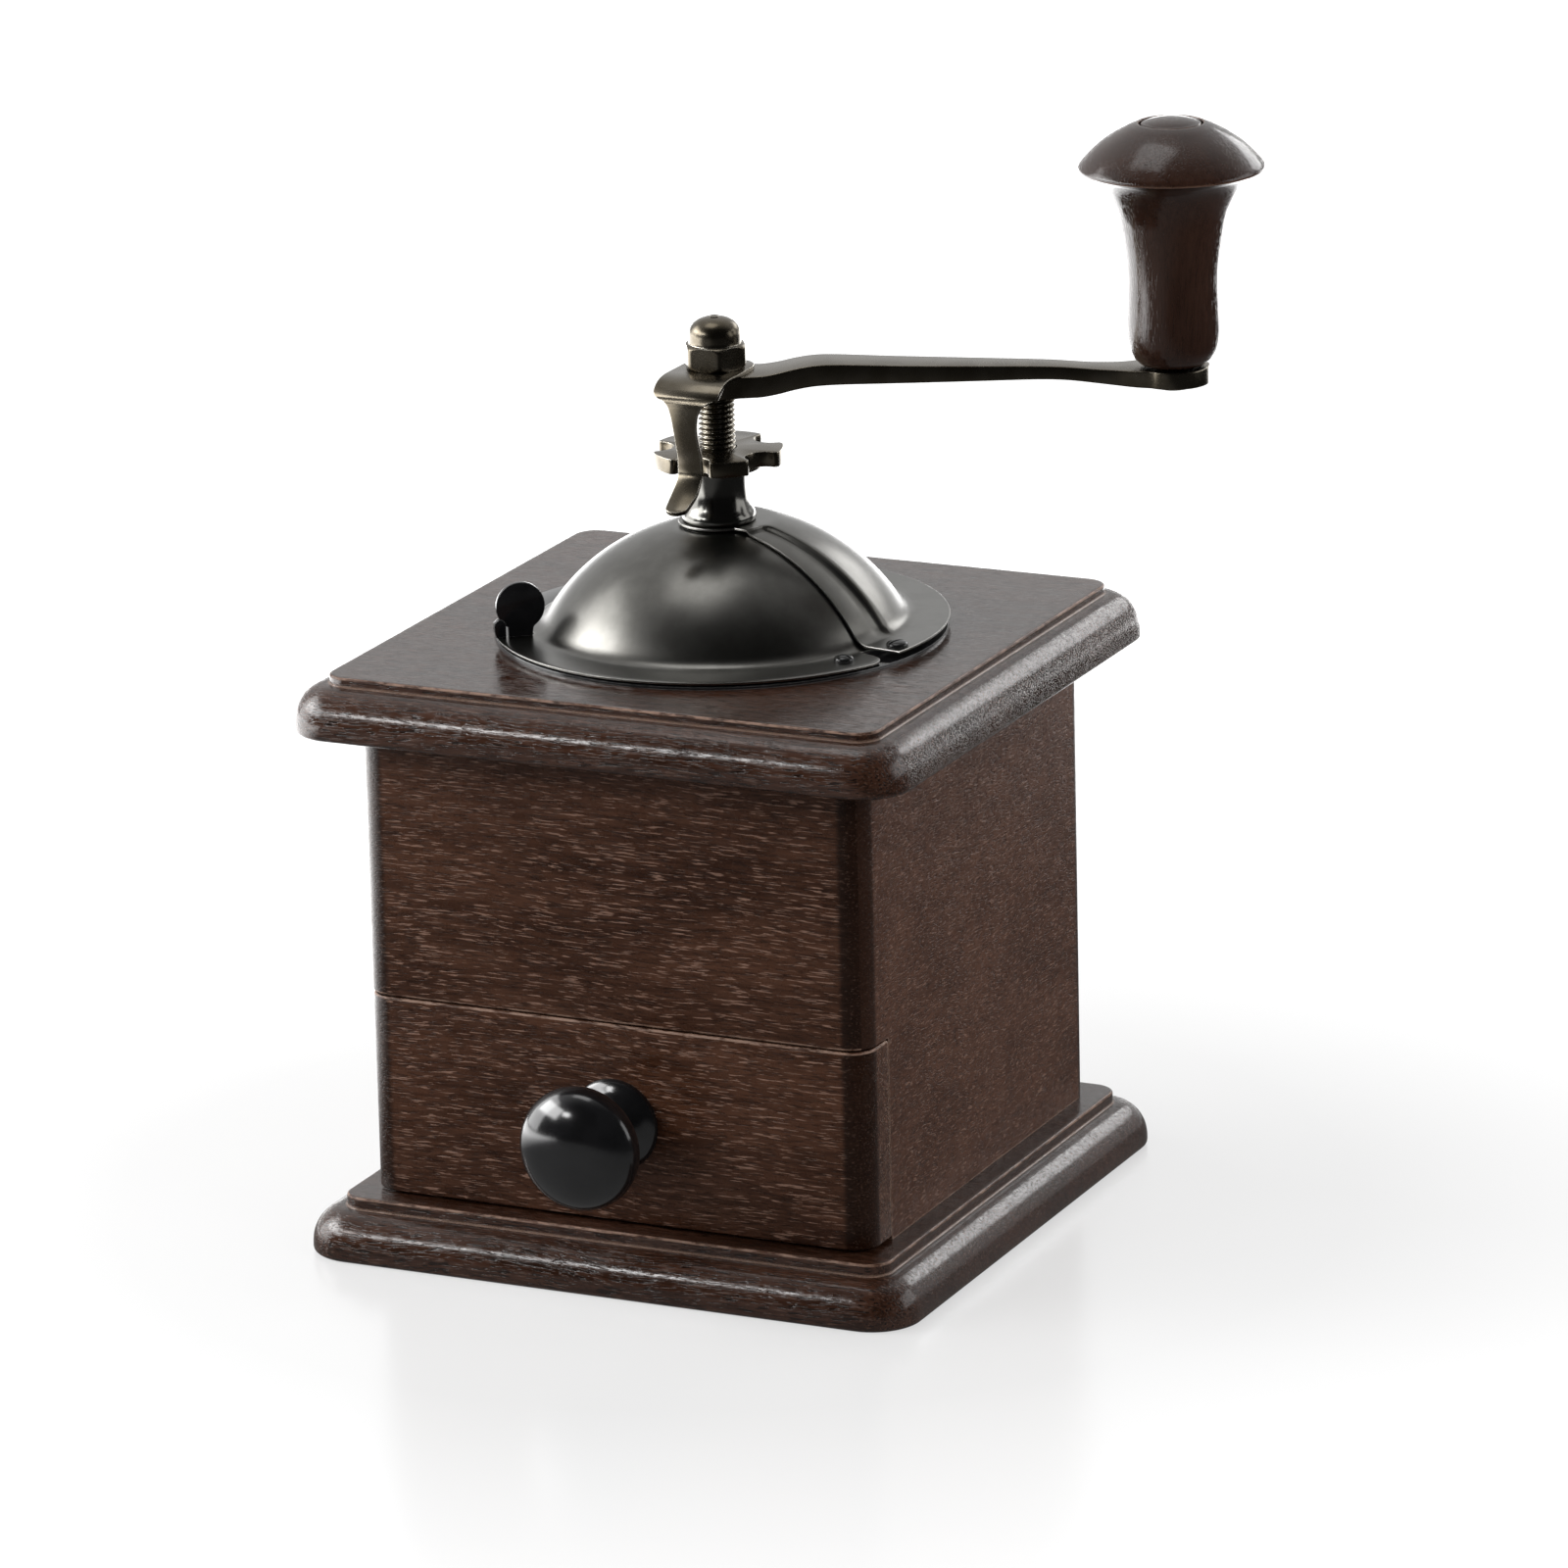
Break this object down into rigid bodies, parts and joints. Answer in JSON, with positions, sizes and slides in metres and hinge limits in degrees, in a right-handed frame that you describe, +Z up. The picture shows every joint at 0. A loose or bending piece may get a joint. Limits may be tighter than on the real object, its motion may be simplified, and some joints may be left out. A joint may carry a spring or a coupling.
{
  "type": "manual box coffee grinder",
  "caption": "Square wooden hand coffee mill with moulded plates, a full-width drawer, a turning steel hopper dome and a cranked arm with a turned grip.",
  "frame": {"origin": "middle of the underside of the base plate", "axes": "+Z up along the spindle, -Y towards the front with the drawer and its knob, +X to the right seen from the front"},
  "size_m": [0.1596, 0.1372, 0.2115],
  "materials": {
    "case_wood": "dark stained beech, satin lacquer",
    "drawer_wood": "plain, unfinished",
    "grip_wood": "dark reddish brown, glossy lacquer",
    "dome_steel": "blackened sheet, satin",
    "crank_steel": "browned, satin",
    "black_steel": "black, satin",
    "plain_steel": "plain",
    "burr_iron": "raw casting",
    "bush_brass": "dull"
  },
  "bodies": {
    "case": {"base_plate": "case_wood", "base_screw_1": "plain_steel", "base_screw_2": "plain_steel", "base_screw_3": "plain_steel", "base_screw_4": "plain_steel", "case_back_panel": "case_wood", "case_front_panel": "case_wood", "case_left_side": "case_wood", "case_right_side": "case_wood", "top_plate": "case_wood", "hopper_rim": "dome_steel", "hopper_cone": "dome_steel", "hopper_floor": "dome_steel", "burr_housing": "burr_iron", "housing_screw_1": "plain_steel", "housing_screw_2": "plain_steel", "housing_screw_3": "plain_steel", "ring_burr": "burr_iron", "lower_bridge": "burr_iron", "bridge_bush": "bush_brass", "bridge_screw_1": "plain_steel", "bridge_screw_2": "plain_steel", "dome_cover": "dome_steel", "cover_screw_1": "black_steel", "cover_screw_2": "black_steel", "cover_screw_3": "black_steel", "hub": "dome_steel"},
    "drawer": {"drawer_front": "case_wood", "drawer_left_side": "drawer_wood", "drawer_right_side": "drawer_wood", "drawer_back": "drawer_wood", "drawer_floor": "drawer_wood", "drawer_knob": "black_steel", "drawer_knob_screw": "bush_brass"},
    "shutter_half": {"shutter": "dome_steel", "shutter_stop_rivet": "black_steel", "shutter_thumb_tab": "black_steel"},
    "washer": {"thrust_washer": "crank_steel"},
    "nut": {"star_nut": "crank_steel"},
    "crank": {"spindle": "crank_steel", "cone_burr": "burr_iron", "burr_nut": "plain_steel", "preload_spring": "plain_steel", "crank_arm": "crank_steel", "lock_leaf": "crank_steel", "cap_nut": "crank_steel", "grip_pin": "crank_steel"},
    "leaf": {"leaf_tail": "crank_steel"},
    "handle": {"grip": "grip_wood", "grip_plug": "grip_wood"}
  },
  "joints": [
    {"name": "crank_turn", "type": "hinge", "parent": "case", "child": "washer", "pos_m": [0, 0, 0.146], "axis": [0, 0, 1], "continuous": true},
    {"name": "nut_turn", "type": "hinge", "parent": "washer", "child": "nut", "pos_m": [0, 0, 0.148], "axis": [0, 0, 1], "range_deg": [-145, 361]},
    {"name": "shaft_lift", "type": "slide", "parent": "washer", "child": "crank", "axis": [0, 0, 1], "range_m": [-0.001, 0.0004], "deforming": ["preload_spring"]},
    {"name": "leaf_release", "type": "hinge", "parent": "crank", "child": "leaf", "pos_m": [0, -0.0106, 0.1642], "axis": [-1, 0, 0], "range_deg": [-5, 16], "stiffness_Nm_per_rad": 0.05},
    {"name": "grip_spin", "type": "hinge", "parent": "crank", "child": "handle", "pos_m": [0.07884, 0.0351, 0.18], "axis": [0, 0, 1], "continuous": true},
    {"name": "drawer_slide", "type": "slide", "parent": "case", "child": "drawer", "axis": [0, -1, 0], "range_m": [0, 0.078]},
    {"name": "shutter_turn", "type": "hinge", "parent": "case", "child": "shutter_half", "pos_m": [0, 0, 0.115], "axis": [0, 0, 1], "range_deg": [-60, 0]}
  ],
  "couplings": [
    {"joint": "nut_turn", "follows": "shaft_lift", "rad_per_m": -6283.2}
  ]
}
